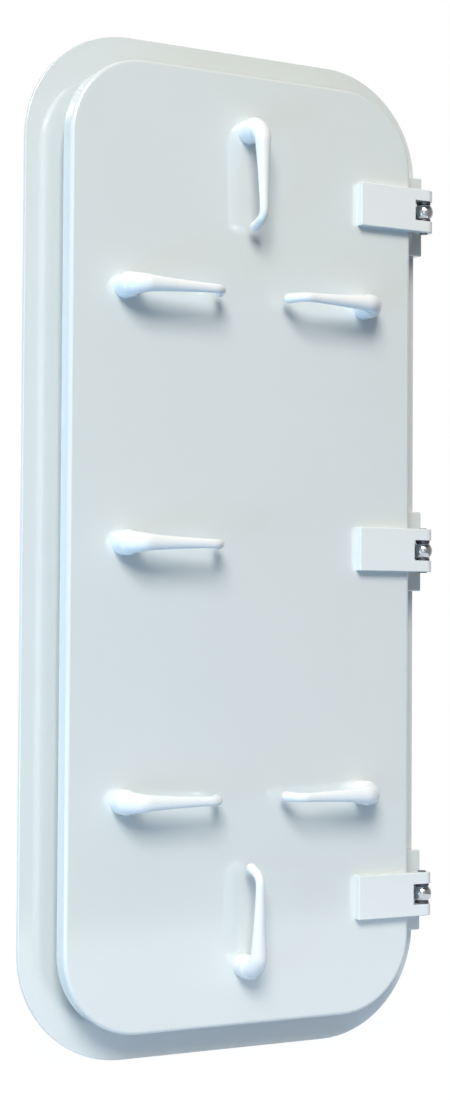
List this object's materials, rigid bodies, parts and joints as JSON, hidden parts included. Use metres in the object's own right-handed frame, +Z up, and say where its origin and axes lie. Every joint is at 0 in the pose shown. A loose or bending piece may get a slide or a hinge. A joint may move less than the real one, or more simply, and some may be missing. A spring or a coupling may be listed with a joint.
{
  "type": "watertight door",
  "caption": "Hinged steel watertight door with a rounded leaf in a flanged coaming frame, adjustable eye-bolt hinges and individual dogs with levers on both sides.",
  "frame": {"origin": "centre of the clear opening, on the bulkhead plane at the back face of the frame flange", "axes": "+Z up, -Y outwards on the side the leaf opens to, +X towards the hinges"},
  "size_m": [0.81, 0.1835, 1.81],
  "materials": {
    "white_enamel": "glossy white marine enamel on steel",
    "white_enamel_gloss": "smooth glossy white enamel on forged steel",
    "stainless": "turned and polished stainless steel",
    "black_oxide_steel": "polished black-oxide steel",
    "bronze": "machined bronze",
    "seal_rubber": "solid black neoprene"
  },
  "bodies": {
    "frame": {"frame_flange": "white_enamel", "frame_coaming": "white_enamel", "sealing_bar": "stainless", "eye_bolt_nuts": "black_oxide_steel", "hinge_block_top": "white_enamel", "eye_bolt_top": "black_oxide_steel", "hinge_block_middle": "white_enamel", "eye_bolt_middle": "black_oxide_steel", "hinge_block_bottom": "white_enamel", "eye_bolt_bottom": "black_oxide_steel", "wedge_top": "white_enamel", "wedge_bottom": "white_enamel", "wedge_left_upper": "white_enamel", "wedge_left_middle": "white_enamel", "wedge_left_lower": "white_enamel", "wedge_right_upper": "white_enamel", "wedge_right_lower": "white_enamel"},
    "leaf": {"leaf_skin": "white_enamel", "leaf_stiffeners": "white_enamel", "gasket_channel": "white_enamel", "gasket": "seal_rubber", "hinge_washers": "black_oxide_steel", "spindle_glands": "bronze", "gland_packings": "seal_rubber", "hinge_fork_top": "white_enamel", "hinge_pin_top": "black_oxide_steel", "hinge_fork_middle": "white_enamel", "hinge_pin_middle": "black_oxide_steel", "hinge_fork_bottom": "white_enamel", "hinge_pin_bottom": "black_oxide_steel"},
    "dog_top": {"lever_top": "white_enamel_gloss", "spindle_top": "stainless", "inner_dog_top": "white_enamel_gloss", "dog_nut_top": "stainless"},
    "dog_bottom": {"lever_bottom": "white_enamel_gloss", "spindle_bottom": "stainless", "inner_dog_bottom": "white_enamel_gloss", "dog_nut_bottom": "stainless"},
    "dog_left_upper": {"lever_left_upper": "white_enamel_gloss", "spindle_left_upper": "stainless", "inner_dog_left_upper": "white_enamel_gloss", "dog_nut_left_upper": "stainless"},
    "dog_left_middle": {"lever_left_middle": "white_enamel_gloss", "spindle_left_middle": "stainless", "inner_dog_left_middle": "white_enamel_gloss", "dog_nut_left_middle": "stainless"},
    "dog_left_lower": {"lever_left_lower": "white_enamel_gloss", "spindle_left_lower": "stainless", "inner_dog_left_lower": "white_enamel_gloss", "dog_nut_left_lower": "stainless"},
    "dog_right_upper": {"lever_right_upper": "white_enamel_gloss", "spindle_right_upper": "stainless", "inner_dog_right_upper": "white_enamel_gloss", "dog_nut_right_upper": "stainless"},
    "dog_right_lower": {"lever_right_lower": "white_enamel_gloss", "spindle_right_lower": "stainless", "inner_dog_right_lower": "white_enamel_gloss", "dog_nut_right_lower": "stainless"}
  },
  "joints": [
    {"name": "leaf_swing", "type": "hinge", "parent": "frame", "child": "leaf", "pos_m": [0.38, -0.0785, 0], "axis": [0, 0, 1], "range_deg": [0, 170]},
    {"name": "dog_top_turn", "type": "hinge", "parent": "leaf", "child": "dog_top", "pos_m": [0, -0.0785, 0.745], "axis": [0, -1, 0], "range_deg": [0, 90]},
    {"name": "dog_bottom_turn", "type": "hinge", "parent": "leaf", "child": "dog_bottom", "pos_m": [0, -0.0785, -0.745], "axis": [0, 1, 0], "range_deg": [0, 90]},
    {"name": "dog_left_upper_turn", "type": "hinge", "parent": "leaf", "child": "dog_left_upper", "pos_m": [-0.245, -0.0785, 0.447], "axis": [0, 1, 0], "range_deg": [0, 90]},
    {"name": "dog_left_middle_turn", "type": "hinge", "parent": "leaf", "child": "dog_left_middle", "pos_m": [-0.245, -0.0785, 0], "axis": [0, 1, 0], "range_deg": [0, 90]},
    {"name": "dog_left_lower_turn", "type": "hinge", "parent": "leaf", "child": "dog_left_lower", "pos_m": [-0.245, -0.0785, -0.447], "axis": [0, 1, 0], "range_deg": [0, 90]},
    {"name": "dog_right_upper_turn", "type": "hinge", "parent": "leaf", "child": "dog_right_upper", "pos_m": [0.245, -0.0785, 0.447], "axis": [0, -1, 0], "range_deg": [0, 90]},
    {"name": "dog_right_lower_turn", "type": "hinge", "parent": "leaf", "child": "dog_right_lower", "pos_m": [0.245, -0.0785, -0.447], "axis": [0, -1, 0], "range_deg": [0, 90]}
  ]
}
